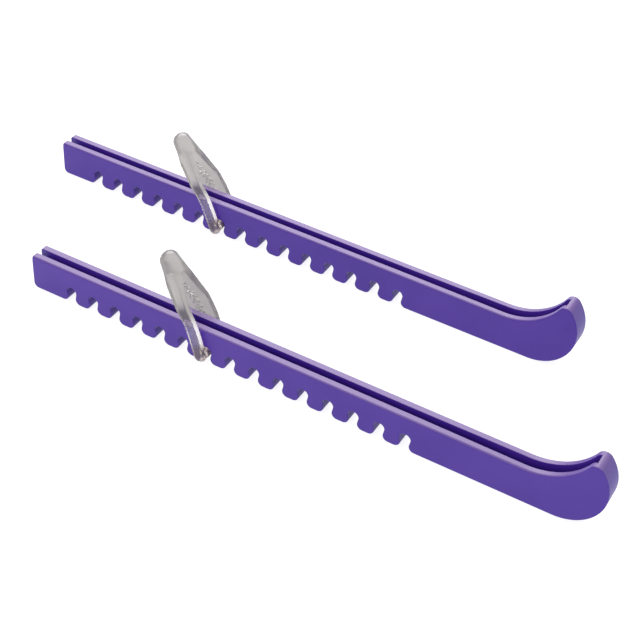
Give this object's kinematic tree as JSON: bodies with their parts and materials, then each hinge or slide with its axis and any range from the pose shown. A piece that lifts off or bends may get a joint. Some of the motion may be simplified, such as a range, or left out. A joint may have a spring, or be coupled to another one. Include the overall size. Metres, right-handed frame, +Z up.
{
  "type": "figure skate blade guards",
  "caption": "Pair of adjustable walking guards for figure skate blades: slotted plastic channels with keyhole notches and clear stretch straps.",
  "frame": {"origin": "middle of the pair's underside, on the surface it stands on", "axes": "+X along the guards towards the toes, +Y from the front guard to the rear guard, +Z up"},
  "size_m": [0.3908, 0.1168, 0.0574],
  "materials": {
    "guard_plastic": "satin moulded",
    "clear_urethane": "clear, slightly grey, flexible"
  },
  "bodies": {
    "guards": {"rear_guard": "guard_plastic", "front_guard": "guard_plastic"},
    "rear_strap": {"rear_strap": "clear_urethane"},
    "front_strap": {"front_strap": "clear_urethane"}
  },
  "joints": [
    {"name": "rear_strap_swing", "type": "hinge", "parent": "guards", "child": "rear_strap", "pos_m": [-0.08135, 0.0489, 0.007], "axis": [0, 1, 0], "range_deg": [-4, 74]},
    {"name": "front_strap_swing", "type": "hinge", "parent": "guards", "child": "front_strap", "pos_m": [-0.02565, -0.0489, 0.007], "axis": [0, 1, 0], "range_deg": [-9, 69]}
  ]
}
